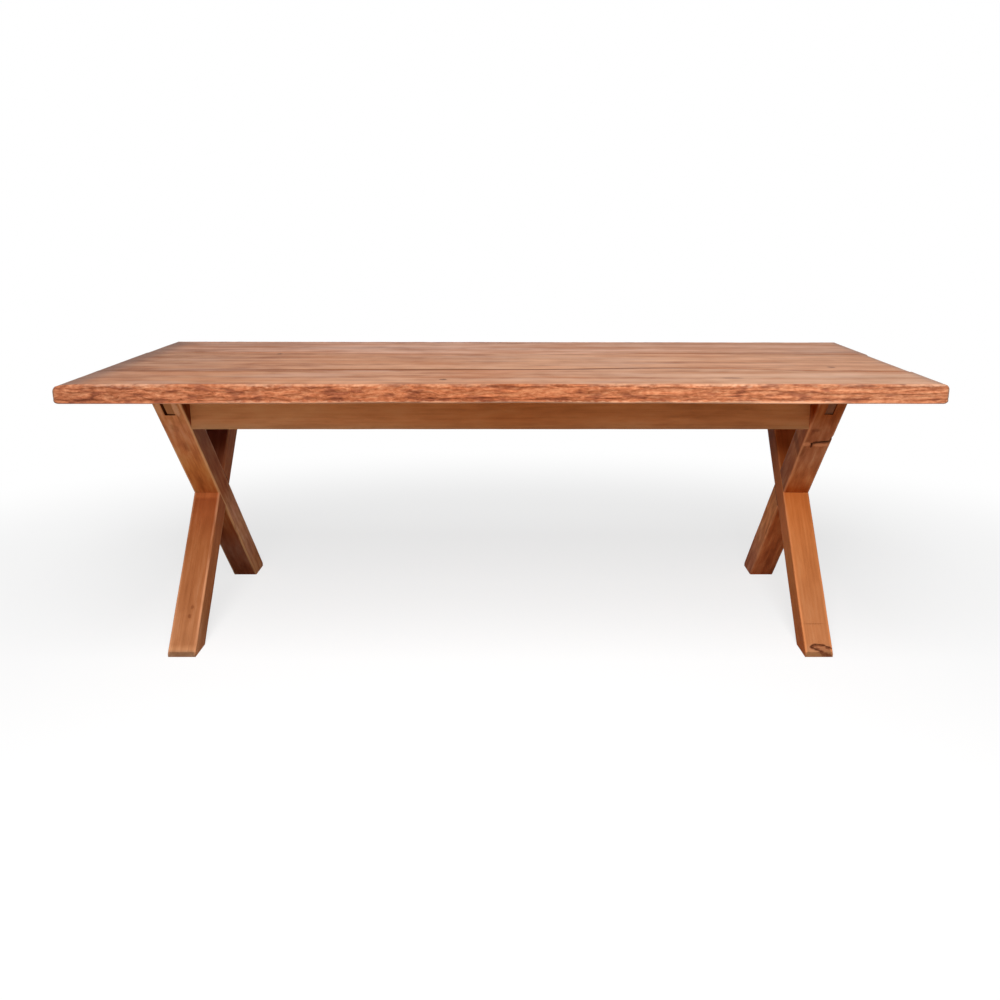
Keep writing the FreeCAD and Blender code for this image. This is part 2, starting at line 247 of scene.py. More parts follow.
def frame_wood(
    name, lie, half_width, half_depth, tones, pith, ring=0.0055, seed=0.0, knots=(), painted_shadings=(),
    end_tone=stain(104, 66, 42), rub_highlight=0.75, blotched=0.4,
):
    """Oiled frame timber: dark, middle and pale tones along the grain, paler at the arrises with wear and a
    painted highlight.

    The painted shadings tint it lengthwise with painted light and shade, first on its front and back, then
    on its sides; a third goes through it.
    """
    wood = new_finish(name)
    tree = wood.node_tree
    grain = solid_grain(tree, lie, pith, ring, seed=seed, knots=knots)
    place, late, fibre, pore = (grain[part] for part in ("place", "late", "fibre", "pore"))
    blotch = figure(place, (13.0, 58.0, 58.0), 4.0, seed + 13.0)
    tone = (
        0.5
        + 0.45 * (grain["mottle"] - 0.5)
        + blotched * (blotch - 0.5)
        + 0.2 * (grain["streak"] - 0.5)
        + 0.2 * (grain["line"] - 0.5)
        + 0.25 * (fibre - 0.5)
        - 0.03 * late
        + 0.03 * grain["year"]
        - 0.10 * pore
    )
    colour = wood_colour(tone, tones)
    apart = place.node("ShaderNodeSeparateXYZ", {}, {0: place})
    # Painted light and shade along the timber.
    if painted_shadings:
        on_front, on_sides = (shaded_along(colour, apart, stops) for stops in painted_shadings[:2])
        colour = on_front.mix(on_sides, faces_along(tree, lie, 1))
    for stops in painted_shadings[2:]:
        colour = shaded_along(colour, apart.also("Z"), stops)
    for share, mark_tone in grain["marks"]:
        colour = colour.mix(mark_tone, share)
    across = apart.maths("ABSOLUTE", apart.also("Y"))
    through = apart.maths("ABSOLUTE", apart.also("Z"))
    arris_from, arris_to = 0.008, 0.001
    at_side = across.step(half_width - arris_from, half_width - arris_to)
    at_face = through.step(half_depth - arris_from, half_depth - arris_to)
    rubbed_and_lit = at_side * at_face * figure(place, (9.0, 60.0, 60.0), 3.0, seed + 17.0).step(0.25, 0.55)
    # Paler arrises: wear, and a painted highlight along the edges.
    colour = colour.mix(tones[-1], rub_highlight * rubbed_and_lit)
    cut = faces_along(tree, lie, 0)
    colour = colour.mix(end_tone, 0.75 * cut)
    roughness = 0.60 + 0.16 * (fibre - 0.5) + 0.12 * pore + 0.18 * cut - 0.08 * rubbed_and_lit
    finish_wood(tree, colour, roughness, fibre - 0.6 * pore + 0.35 * late, 0.0006, 0.01)
    return wood


def skin(work, rings):
    """Closes a row of rings of points into a solid, with faces that point outwards."""
    for ring, after in zip(rings, rings[1:]):
        for number in range(len(ring)):
            work.faces.new((ring[number - 1], ring[number], after[number], after[number - 1]))
    work.faces.new(rings[0])
    work.faces.new(rings[-1])
    bmesh.ops.remove_doubles(work, verts=work.verts, dist=1e-6)
    bmesh.ops.recalc_face_normals(work, faces=work.faces)


def squared_timber(lie, stations, arris, seed):
    """A planed timber's mesh through its stations: length, half width, half depth, rise, slant."""
    flat_steps, arris_steps = 6, 3
    arris_waver, plane_hollow = 0.45, 0.0004
    work = bmesh.new()
    rings = []
    for length, half_width, half_depth, rise, slant in stations:
        arcs = []
        for corner, (right, up) in enumerate(((1, 1), (-1, 1), (-1, -1), (1, -1))):
            radius = arris * (1 + arris_waver * noise.noise((length * 11, corner * 5.3, seed)))
            turns = [math.pi / 2 * (corner + step / arris_steps) for step in range(arris_steps + 1)]
            arcs.append([
                (right * (half_width - radius) + radius * math.cos(turn),
                 up * (half_depth - radius) + radius * math.sin(turn))
                for turn in turns
            ])
        ring = []
        for corner, arc in enumerate(arcs):
            ring += arc
            outward = math.pi / 2 * (corner + 1)
            start, end = arc[-1], arcs[(corner + 1) % 4][0]
            for step in range(1, flat_steps):
                share = step / flat_steps
                hollow = plane_hollow * (0.5 + 0.5 * noise.noise((length * 9, corner + share * 2, seed)))
                ring.append((
                    start[0] + (end[0] - start[0]) * share - hollow * math.cos(outward),
                    start[1] + (end[1] - start[1]) * share - hollow * math.sin(outward),
                ))
        rings.append([
            work.verts.new(lie @ Vector((length + slant * (up + rise), across, up + rise)))
            for across, up in ring
        ])
    skin(work, rings)
    return work


def saw(work, point, outward):
    """Saws off all that lies outward of a plane, and closes the cut."""
    everything = work.verts[:] + work.edges[:] + work.faces[:]
    cut = bmesh.ops.bisect_plane(
        work, geom=everything, plane_co=point, plane_no=outward, clear_outer=True, dist=1e-7
    )
    edges = [part for part in cut["geom_cut"] if isinstance(part, bmesh.types.BMEdge)]
    bmesh.ops.edgeloop_fill(work, edges=edges)
    bmesh.ops.recalc_face_normals(work, faces=work.faces)


def to_mesh(work, name):
    mesh = bpy.data.meshes.new(name)
    work.to_mesh(mesh)
    work.free()
    return mesh


def prism(outline, x_start, x_end):
    """A cutting tool with a (Y, Z) outline, from x_start to x_end."""
    work = bmesh.new()
    ends = [[work.verts.new((x, y, z)) for y, z in outline] for x in (x_start, x_end)]
    skin(work, ends)
    return to_mesh(work, "prism")


def block(x_range, y_range, z_range):
    (y_low, y_high), (z_low, z_high) = y_range, z_range
    return prism([(y_low, z_low), (y_high, z_low), (y_high, z_high), (y_low, z_high)], *x_range)


def drill(radius, start, end):
    """A cutting tool for a round hole from one point to another."""
    start, end = Vector(start), Vector(end)
    work = bmesh.new()
    turn = (end - start).to_track_quat("Z", "Y").to_matrix().to_4x4()
    bmesh.ops.create_cone(
        work, cap_ends=True, segments=28, radius1=radius, radius2=radius,
        depth=(end - start).length, matrix=Matrix.Translation((start + end) / 2) @ turn,
    )
    return to_mesh(work, "drill")


def as_made(thing):
    """The plain mesh that an object's modifiers leave."""
    return bpy.data.meshes.new_from_object(thing.evaluated_get(bpy.context.evaluated_depsgraph_get()))


def carve(mesh, tools):
    """Cuts tools out of a timber one after another, and gives what is left as a plain mesh."""
    timber = bpy.data.objects.new("timber", mesh)
    spent = [timber]
    for tool in tools:
        cutter = bpy.data.objects.new("cutter", tool)
        cut = timber.modifiers.new("cut", "BOOLEAN")
        cut.operation, cut.solver, cut.object = "DIFFERENCE", "EXACT", cutter
        spent.append(cutter)
    for thing in spent:
        bpy.context.scene.collection.objects.link(thing)
    carved = as_made(timber)
    for thing in spent:
        bpy.data.objects.remove(thing)
    return carved


def set_down(name, mesh, wood, node, sharp=32):
    """Puts a finished piece into the table in place of its CAD node."""
    piece = bpy.data.objects.new(name, mesh)
    bpy.context.scene.collection.objects.link(piece)
    mesh.materials.clear()
    mesh.materials.append(wood)
    mesh.shade_smooth()
    mesh.set_sharp_from_angle(angle=math.radians(sharp))
    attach(piece, "root")
    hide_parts(node)


def leg_centre(z):
    """Y of a leg's centre line at a height, on the leg whose foot is at the front."""
    return z / math.tan(leg_lean) - foot_half_span


def leg_strip(facing):
    """(Y, Z) outline of the notch that a leg leaves in its partner."""
    run = leg_half_run + lap_clearance / math.sin(leg_lean)
    foot, head = leg_centre(0), leg_centre(under_top)
    outline = [(foot - run, 0), (foot + run, 0), (head + run, under_top), (head - run, under_top)]
    return [(facing * y, z) for y, z in outline]


def fissure(lie, half_gap, depth, path):
    """A cutting tool for a check in a leg's front face, along a path of (along, across) points."""
    overrun, end_share, floor_share = 0.002, 0.3, 0.2
    open_level, floor_level = -leg_depth / 2 - overrun, -leg_depth / 2 + depth
    corners = (
        (1, open_level, 1.0), (-1, open_level, 1.0),
        (-1, floor_level, floor_share), (1, floor_level, floor_share),
    )
    work = bmesh.new()
    rings = []
    for number, spot in enumerate(path):
        before, after = path[max(number - 1, 0)], path[min(number + 1, len(path) - 1)]
        heading = (Vector(after) - Vector(before)).normalized()
        half = half_gap * (end_share if number in (0, len(path) - 1) else 1.0)
        ring = []
        for side, level, share in corners:
            along = spot[0] - heading.y * side * half * share
            across = spot[1] + heading.x * side * half * share
            ring.append(work.verts.new(lie @ Vector((along, across, level))))
        rings.append(ring)
    skin(work, rings)
    return to_mesh(work, "fissure")


leg_tones = {
    "left_front": (stain(142, 77, 42), stain(190, 117, 74), stain(224, 158, 116)),
    "left_back": (stain(151, 80, 44), stain(217, 136, 85), stain(240, 182, 128)),
    "right_front": (stain(176, 94, 48), stain(210, 121, 69), stain(228, 144, 91)),
    "right_back": (stain(142, 70, 38), stain(203, 115, 72), stain(238, 158, 110)),
}
# Painted light and shade tint each leg by its length from the lap, first on its front and back, then on its
# sides.
leg_painted_shadings = {
    "left_front": (
        ((-0.514, (0.58, 0.86, 1.18)), (-0.504, (0.98, 1.25, 1.45)), (-0.490, (0.78, 0.89, 0.95)),
         (-0.36, (0.72, 0.73, 0.70)), (-0.20, (0.72, 0.66, 0.55)), (-0.053, (0.75, 0.53, 0.41)),
         (-0.046, (1.00, 0.80, 0.62)), (0.25, (0.22, 0.11, 0.34))),
        ((-0.46, (0.83, 0.92, 0.95)), (-0.39, (0.76, 0.77, 0.68)), (-0.33, (0.80, 0.74, 0.63)),
         (-0.22, (0.97, 0.93, 0.84)), (-0.08, (0.89, 0.75, 0.65)), (0.28, (0.68, 0.60, 0.54))),
    ),
    "left_back": (
        ((-0.45, (0.36, 0.25, 0.24)), (-0.30, (0.38, 0.33, 0.44)), (-0.20, (0.35, 0.23, 0.20)),
         (0.05, (0.66, 0.50, 0.32)), (0.16, (0.76, 0.66, 0.46)), (0.33, (0.83, 0.78, 0.84)),
         (0.40, (1.00, 1.00, 1.00))),
        ((-0.43, (0.96, 1.00, 1.04)), (-0.35, (0.92, 0.98, 1.27)), (-0.20, (1.06, 1.32, 1.75)),
         (-0.12, (0.98, 1.15, 1.65)), (-0.05, (0.82, 0.92, 1.10)), (0.00, (0.60, 0.46, 0.39)),
         (0.25, (0.42, 0.37, 0.39)), (0.36, (0.40, 0.34, 0.31)), (0.40, (0.32, 0.20, 0.12))),
    ),
    "right_front": (
        ((-0.516, (0.58, 0.88, 1.18)), (-0.503, (0.74, 1.05, 1.55)), (-0.487, (0.70, 0.87, 1.06)),
         (-0.36, (0.71, 0.84, 0.94)), (-0.20, (0.90, 1.00, 0.98)), (-0.05, (1.00, 0.95, 0.71)),
         (0.25, (0.98, 0.81, 0.70))),
        ((-0.50, (0.62, 0.55, 0.49)), (-0.36, (0.70, 0.68, 0.60)), (-0.24, (0.78, 0.84, 0.77)),
         (-0.13, (0.94, 0.97, 1.12)), (-0.04, (0.83, 0.84, 0.92)), (0.05, (0.78, 0.77, 0.78)),
         (0.18, (0.36, 0.28, 0.22))),
    ),
    "right_back": (
        ((-0.50, (0.72, 0.50, 0.33)), (-0.44, (0.90, 0.76, 0.65)), (-0.25, (0.87, 0.74, 0.59)),
         (0.00, (0.62, 0.46, 0.245)), (0.05, (0.57, 0.37, 0.16)), (0.10, (0.79, 0.78, 0.62)),
         (0.20, (0.70, 0.79, 0.84)), (0.34, (0.60, 0.59, 0.56)), (0.40, (0.54, 0.41, 0.25))),
        ((-0.44, (1.00, 1.05, 1.25)), (-0.37, (1.15, 1.35, 1.68)), (-0.30, (1.30, 1.62, 1.82)),
         (-0.13, (1.48, 1.85, 1.82)), (-0.06, (1.20, 1.50, 1.50)), (0.00, (0.61, 0.72, 0.88)),
         (0.25, (0.79, 0.80, 0.72)), (0.36, (0.72, 0.66, 0.54)), (0.40, (0.45, 0.21, 0.04))),
    ),
}
leg_piths = {
    "left_front": (0.035, 0.060),
    "left_back": (-0.020, 0.048),
    "right_front": (0.055, 0.030),
    "right_back": (-0.045, 0.052),
}
knot_tone, scar_tone = stain(112, 58, 32), stain(104, 50, 30)
torn_tone, lip_tone = stain(214, 136, 92), stain(255, 196, 148)
# Knots, scars and torn spots: a tone, then its marks as in solid_grain.
leg_knots = {
    "left_front": (
        (knot_tone, (-0.3835, 0.0107, 0.0075, 0.0055, 0.55), (-0.4095, 0.0063, 0.0075, 0.0055, 0.55)),
    ),
    "left_back": (
        (knot_tone, (0.345, -0.006, 0.020, 0.012, 0.25), (0.262, 0.004, 0.028, 0.010, 0.25)),
        (lip_tone, (0.428, 0.019, 0.036, 0.009, 0.50), (0.425, -0.026, 0.036, 0.009, 0.30)),
    ),
    "right_front": (
        (scar_tone,
         (-0.5040, 0.0150, 0.0120, 0.0240, 0.35), (-0.4990, 0.0270, 0.0055, 0.0110, 0.80),
         (-0.4925, 0.0090, 0.0055, 0.0120, 0.80), (-0.4920, -0.0090, 0.0060, 0.0110, 0.80),
         (-0.4975, -0.0180, 0.0070, 0.0080, 0.85), (-0.5030, -0.0060, 0.0055, 0.0100, 0.80),
         (-0.5100, 0.0060, 0.0055, 0.0090, 0.80), (-0.5165, 0.0150, 0.0060, 0.0090, 0.80),
         (-0.5210, 0.0260, 0.0090, 0.0100, 0.85), (-0.4315, -0.0050, 0.0015, 0.0340, 0.35)),
    ),
    "right_back": (
        (scar_tone, (0.334, -0.018, 0.009, 0.017, 0.45), (0.325, -0.023, 0.014, 0.006, 0.40)),
        (knot_tone, (0.232, -0.034, 0.022, 0.009, 0.55)),
        (torn_tone, (0.268, 0.012, 0.0080, 0.026, 0.75), (0.272, -0.026, 0.012, 0.012, 0.65)),
        (scar_tone, (0.282, 0.012, 0.0065, 0.028, 0.85), (0.298, 0.035, 0.018, 0.0060, 0.75),
         (0.268, -0.0125, 0.0130, 0.0040, 0.80)),
    ),
}
leg_blotches = {"front": 0.4, "back": 0.9}
# Strength of each leg's paler arrises: wear and a painted highlight.
leg_rub_highlights = {"left_front": 0.75, "left_back": 0.65, "right_front": 0.75, "right_back": 0.45}
# Checks and scars in the front faces: half gap, depth, and the path along and across the leg.
leg_checks = {
    "right_front": (0.0030, 0.0030, (
        (-0.5024, 0.0380), (-0.4998, 0.0309), (-0.4929, 0.0141), (-0.4897, -0.0031), (-0.4919, -0.0164),
        (-0.4967, -0.0225), (-0.5020, -0.0115), (-0.5109, 0.0068), (-0.5192, 0.0190), (-0.5290, 0.0300),
    )),
    "right_back": (0.0042, 0.014, (
        (0.3147, 0.0390), (0.2950, 0.0352), (0.2865, 0.0320), (0.2819, 0.0113), (0.2750, -0.0142),
        (0.2574, -0.0112),
    )),
}
apron_middle = leg_centre(under_top - apron_height) + leg_half_run - apron_half_thickness
apron_stub_z = under_top - apron_height / 2 + apron_stub_rise

for number, (side_name, side) in enumerate((("left", -1), ("right", 1))):
    for facing_name, facing in (("front", 1), ("back", -1)):
        leg = side_name + "_" + facing_name
        middle = frame_offset + side * frame_middle
        inner, outer = frame_offset + side * frame_inner, frame_offset + side * frame_outer
        upward = (0, facing * math.cos(leg_lean), math.sin(leg_lean))
        lie = grain_frame((middle, 0, lap_height), upward, (1, 0, 0))
        low = -lap_height / math.sin(leg_lean) - leg_depth
        high = (under_top - lap_height) / math.sin(leg_lean) + leg_depth
        steps = round((high - low) / leg_station)
        stations = [
            (low + (high - low) * step / steps, leg_thickness / 2, leg_depth / 2, 0, 0)
            for step in range(steps + 1)
        ]
        seed = 3.7 * number + 1.9 * facing
        timber = squared_timber(lie, stations, leg_arris, seed)
        toe_y = facing * (leg_centre(toe_height) - leg_half_run)
        saw(timber, (0, 0, 0), (0, 0, -1))
        saw(timber, (0, 0, under_top), (0, 0, 1))
        saw(timber, (0, toe_y, 0), (0, -facing, 0))
        stub_y = facing * apron_middle
        stub_half = apron_stub_half_thickness + stub_clearance
        stub_half_height = apron_stub_half_height + stub_clearance
        peg_tip, peg_head = inner + side * peg_stop, outer + side * tool_overrun
        tenon_at = facing * leg_centre(tenon_middle_z), tenon_middle_z
        tools = [
            prism(leg_strip(-facing), middle, middle + facing * leg_thickness),
            block(
                (middle - mortise_left_half[side_name], middle + mortise_right_half),
                (-mortise_reach, mortise_reach),
                (mortise_low[side_name], mortise_high),
            ),
            block(
                (inner - side * tool_overrun, inner + side * (apron_stub_length + stub_clearance)),
                (stub_y - stub_half, stub_y + stub_half),
                (apron_stub_z - stub_half_height, apron_stub_z + stub_half_height),
            ),
            drill(lap_peg_radius, (peg_tip, 0, lap_height), (peg_head, 0, lap_height)),
            drill(tenon_peg_radius, (peg_tip, *tenon_at), (peg_head, *tenon_at)),
        ]
        if leg in leg_checks:
            tools.append(fissure(lie, *leg_checks[leg]))
        mesh = carve(to_mesh(timber, leg), tools)
        knots = [(*mark, tone) for tone, *marks in leg_knots[leg] for mark in marks]
        wood = frame_wood(
            leg + "_leg_wood", lie, leg_thickness / 2, leg_depth / 2, leg_tones[leg], leg_piths[leg],
            seed=seed + 20.0, knots=knots, painted_shadings=leg_painted_shadings[leg],
            rub_highlight=leg_rub_highlights[leg], blotched=leg_blotches[facing_name],
        )
        set_down(leg + "_leg_timber", mesh, wood, leg + "_leg")


# Bearers. The rail across the top of each X frame, of the same hardwood as the legs.
# Shoulders are sawn to the legs' lean; the tenons go right through and stop just short of the face.

bearer_half_thickness = 0.022
bearer_half_height = 0.036
bearer_arris = 0.0025
bearer_steps = 40
tenon_half_thickness = 0.010
tenon_half_height = 0.0165
tenon_rise = -0.0035
tenon_recess = 0.004
screw_grip = 0.033
screw_bore = 0.007
screw_shank = 0.0027
bearer_screw_rows = (-0.090, 0.0, 0.090)
bearer_pith = (0.010, 0.050)
bearer_middle_z = under_top - bearer_half_height
bearer_tones = (stain(92, 48, 26), stain(142, 86, 52), stain(180, 122, 80))
tenon_tones = {"left": stain(222, 146, 93), "right": stain(126, 79, 60)}


def screw_tools(spots, low):
    """The counterbores and clearance holes that screws go up through, at (X, Y) spots of a rail."""
    seat = under_top - screw_grip
    tools = []
    for x, y in spots:
        tools.append(drill(screw_bore, (x, y, low - tool_overrun), (x, y, seat)))
        tools.append(drill(screw_shank, (x, y, seat - tool_overrun), (x, y, under_top + tool_overrun)))
    return tools


def rail_stations(shoulder, tip, body, tenon, steps, lean=0.0):
    """A rail's stations, with a tenon past each shoulder; the shoulders may be sawn to a lean."""
    stations = [(-tip, *tenon, -lean), (-shoulder, *tenon, -lean)]
    for step in range(steps + 1):
        share = 2 * step / steps - 1
        stations.append((shoulder * share, *body, lean * share))
    return stations + [(shoulder, *tenon, lean), (tip, *tenon, lean)]


for side_name, side in (("left", -1), ("right", 1)):
    middle = frame_offset + side * frame_middle
    lie = grain_frame((middle, 0, bearer_middle_z), (0, 1, 0), (-1, 0, 0))
    shoulder = leg_centre(bearer_middle_z) - leg_half_run
    tip = leg_centre(bearer_middle_z) + leg_half_run - tenon_recess
    body = bearer_half_thickness, bearer_half_height, 0
    tenon = tenon_half_thickness, tenon_half_height, tenon_rise
    stations = rail_stations(shoulder, tip, body, tenon, bearer_steps, 1 / math.tan(leg_lean))
    timber = to_mesh(squared_timber(lie, stations, bearer_arris, 31.0 + side), side_name + "_bearer_rail")
    tools = screw_tools([(middle, y) for y in bearer_screw_rows], under_top - 2 * bearer_half_height)
    peg_start, peg_end = middle - leg_thickness / 2, middle + leg_thickness / 2
    for facing in (-1, 1):
        y = facing * leg_centre(tenon_middle_z)
        tools.append(drill(tenon_peg_radius, (peg_start, y, tenon_middle_z), (peg_end, y, tenon_middle_z)))
    wood = frame_wood(
        side_name + "_bearer_wood", lie, bearer_half_thickness, bearer_half_height, bearer_tones,
        bearer_pith, seed=41.0 + side, end_tone=tenon_tones[side_name],
    )
    set_down(side_name + "_bearer_rail", carve(timber, tools), wood, side_name + "_bearer")


# Aprons and centre bearer. Two long planed hardwood rails between the frames, and a short one across.
# The aprons are stub-tenoned into the legs, the centre bearer into the aprons, and all three are
# drilled from below for the screws that hold the top.

apron_half_height = apron_height / 2
apron_arris = 0.003
apron_steps = 180
apron_screw_columns = (-0.6, -0.2, 0.2, 0.6)
centre_half_thickness = 0.022
centre_half_height = 0.030
centre_stub = (0.010, 0.018, 0.0)
centre_stub_length = 0.014
centre_steps = 36
apron_middle_z = under_top - apron_half_height
centre_middle_z = under_top - centre_half_height
centre_shoulder = apron_middle - apron_half_thickness
apron_pith = (0.070, 0.030)
# The front apron's tones are raised to offset the shade under the top's overhang: painted light.
apron_tones = {
    "front": (stain(184, 110, 62), stain(231, 153, 96), stain(247, 180, 122)),
    "back": (stain(150, 86, 46), stain(196, 126, 76), stain(222, 156, 104)),
}
# Painted shading along the aprons, and painted shade that darkens their lower part to even out the light
# under the top.
apron_painted_shading = ((-0.58, (1.00, 1.00, 1.00)), (0.02, (0.78, 0.65, 0.52)), (0.50, (0.82, 0.73, 0.65)))
apron_low_painted_shade = (
    (-0.052, (0.58, 0.67, 0.79)), (-0.030, (0.86, 0.85, 0.90)), (-0.012, (1.00, 1.00, 1.00)),
    (0.052, (0.97, 0.96, 0.95)),
)

for facing_name, facing in (("front", -1), ("back", 1)):
    lie = grain_frame((frame_offset, facing * apron_middle, apron_middle_z), (1, 0, 0), (0, 1, 0))
    body = apron_half_thickness, apron_half_height, 0
    stub = apron_stub_half_thickness, apron_stub_half_height, apron_stub_rise
    stations = rail_stations(frame_inner, frame_inner + apron_stub_length, body, stub, apron_steps)
    timber = to_mesh(squared_timber(lie, stations, apron_arris, 51.0 + facing), facing_name + "_apron_rail")
    spots = [(frame_offset + x, facing * apron_middle) for x in apron_screw_columns]
    tools = screw_tools(spots, under_top - 2 * apron_half_height)
    stub_half, stub_half_height, _ = centre_stub
    inner = facing * (centre_shoulder - tool_overrun)
    bottom = facing * (centre_shoulder + centre_stub_length + stub_clearance)
    tools.append(block(
        (frame_offset - stub_half - stub_clearance, frame_offset + stub_half + stub_clearance),
        (min(inner, bottom), max(inner, bottom)),
        (centre_middle_z - stub_half_height - stub_clearance,
         centre_middle_z + stub_half_height + stub_clearance),
    ))
    wood = frame_wood(
        facing_name + "_apron_wood", lie, apron_half_thickness, apron_half_height, apron_tones[facing_name],
        apron_pith, seed=61.0 + facing, painted_shadings=(apron_painted_shading, apron_painted_shading, apron_low_painted_shade), rub_highlight=0.0,
    )
    set_down(facing_name + "_apron_rail", carve(timber, tools), wood, facing_name + "_apron")

lie = grain_frame((frame_offset, 0, centre_middle_z), (0, 1, 0), (-1, 0, 0))
body = centre_half_thickness, centre_half_height, 0
centre_tip = centre_shoulder + centre_stub_length
stations = rail_stations(centre_shoulder, centre_tip, body, centre_stub, centre_steps)
timber = to_mesh(squared_timber(lie, stations, bearer_arris, 71.0), "centre_bearer_rail")
tools = screw_tools([(frame_offset, y) for y in bearer_screw_rows], under_top - 2 * centre_half_height)
wood = frame_wood(
    "centre_bearer_wood", lie, centre_half_thickness, centre_half_height, bearer_tones, bearer_pith,
    seed=73.0,
)
set_down("centre_bearer_rail", carve(timber, tools), wood, "centre_bearer")


# Pegs. Riven hardwood pegs, driven from the frames' outer faces through the laps and the tenons.
# Their heads show as small crowned rounds of end grain, just proud of the legs.

peg_tones = (stain(84, 44, 22), stain(128, 74, 40), stain(164, 106, 64))
peg_pith = (0.001, 0.002)
peg_ring = 0.0014


def dress(node, finish):
    """Puts a finish on a piece that keeps its CAD mesh."""
    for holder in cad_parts[node].material_slots:
        holder.material = finish


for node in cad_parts:
    if node.endswith("_peg"):
        low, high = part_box(node)
        lie = grain_frame((low + high) / 2, (1, 0, 0), (0, 1, 0))
        peg_radius = (high.y - low.y) / 2
        dress(node, frame_wood(
            node + "_wood", lie, 2 * peg_radius, 2 * peg_radius, peg_tones, peg_pith, ring=peg_ring,
            seed=low.y * 40 + low.x * 7,
        ))


# Planks of the top. Three heart planks, tapering as the log did, edge-joined on loose tongues.
# Sanded and oiled; the outer edges are hewn in flakes and left rough, the ends are rounded over.

half_length = 1.100
table_height = 0.760
table_half_width = 0.450
front_widths = (0.240, 0.220)
front_bow = 0.028
front_swell = 0.037
front_swell_length = 0.840
front_swell_middle = 0.480
back_seam_reaches = (0.620, 0.569)
back_widths = (0.280, 0.306)
middle_right_inset = 0.006
back_left_inset = 0.003
seam_half_gap = 0.0005
seam_ease = 0.0035
end_round_top = 0.012
end_round_bottom = 0.006
end_corner = 0.004
end_sag_depth = 0.005
sag_length = 0.080
sag_width = 0.75
wane_middle = 0.06
wane_half_length = 0.62
wane_break = 0.004
crease_rise = 0.005
crease_half_width = 0.004
crease_depth = 0.0035
groove_half = 0.0052
groove_depth = 0.013
groove_end_inset = 0.089
hewn_arris = 0.006
hewn_inset = 0.0002
hewn_relief = 0.0065
hewn_end_fade = 0.030
fibre_length = 0.080
fibre_height = 0.0095
hewn_station = 0.0032
sawn_station = 0.016


def between_ends(widths, x):
    left, right = widths
    return left + (right - left) * (x + half_length) / (2 * half_length)


def front_edge(x):
    return -table_half_width + hewn_inset


def front_seam(x):
    bow = front_bow * (1 - (x / half_length) ** 2)
    from_swell = abs(x - front_swell_middle) / front_swell_length
    swell = front_swell * math.cos(math.pi * min(from_swell, 0.5)) ** 2
    return -table_half_width + between_ends(front_widths, x) + bow + swell


def back_seam(x):
    return -table_half_width + between_ends(back_seam_reaches, x)


def back_edge(x):
    return back_seam(x) + between_ends(back_widths, x) - 4 * hewn_inset


def waney(x):
    """How far the front plank's lower arris is cut back at a station, from 0 to 1."""
    return math.cos(math.pi / 2 * min(1.0, abs(x - wane_middle) / wane_half_length)) ** 0.7


def end_sag(x, y):
    """How far the top has been worn down towards its left end, most of all at the front corner."""
    off_end = min(1.0, (x + half_length) / sag_length)
    off_front = min(1.0, (y + table_half_width) / sag_width)
    return end_sag_depth * (1 - off_front) * (1 - off_end) ** 2


def hewn_profile(y, inward, x, z_low, z_high):
    """A hewn edge from bottom to top before it is torn, its arrises broken unevenly."""
    rows = 24
    wane = waney(x) if inward == 1 else 0.0
    low_break = hewn_arris * (0.7 + 0.5 * noise.noise((x * 7, 1.3, y))) + wane_break * wane
    high_break = hewn_arris * (0.6 + 0.5 * noise.noise((x * 9, 4.1, y)))
    points = []
    for row in range(rows + 1):
        z = z_low + (z_high - z_low) * row / rows
        depth = 0.0
        for gap, ease, cut in (
            (z - z_low, low_break, low_break * (1 + 0.8 * wane)), (z_high - z, high_break, high_break),
        ):
            if gap < ease:
                depth += cut * (1 - math.sqrt(1 - (1 - gap / ease) ** 2))
        crease = max(0.0, 1 - abs(z - z_low - low_break - crease_rise) / crease_half_width)
        depth += crease_depth * crease * max(0.0, 0.35 + noise.noise((x * 11, 7.7, y)))
        rough = min(1.0, max(0.1, (z - z_low - 0.6 * low_break) / crease_half_width))
        points.append((y + inward * depth, z, rough))
    return points


def sawn_profile(y, inward, x, z_low, z_high):
    """A seam edge from bottom to top, with its tongue groove and its eased top corner."""
    face = y + inward * seam_half_gap
    middle = (under_top + table_height) / 2
    depth = groove_depth if abs(x) < half_length - groove_end_inset else 0.0
    ease = seam_ease * (1 + 0.5 * noise.noise((x * 6, y * 3, 2.2)))
    points = [
        (face, z_low),
        (face, middle - groove_half),
        (face + inward * depth, middle - groove_half),
        (face + inward * depth, middle + groove_half),
        (face, middle + groove_half),
        (face, z_high - ease),
        (face + inward * 0.25 * ease, z_high - 0.45 * ease),
        (face + inward * 0.6 * ease, z_high - 0.13 * ease),
        (face + inward * 1.2 * ease, z_high),
    ]
    return [(y, z, 0.0) for y, z in points]


def plank_stations(left_end, right_end, spacing):
    """Stations along X, with the share of the end rounding at each: 1 on the end faces."""
    rounds = 6
    turns = [math.pi / 2 * step / rounds for step in range(rounds + 1)]
    eased = [(end_round_top * (1 - math.cos(turn)), 1 - math.sin(turn)) for turn in turns]
    first, last = left_end + end_round_top, right_end - end_round_top
    count = round((last - first) / spacing)
    stations = [(left_end + distance, share) for distance, share in eased]
    stations += [(first + (last - first) * number / count, 0.0) for number in range(1, count)]
    return stations + [(right_end - distance, share) for distance, share in reversed(eased)]


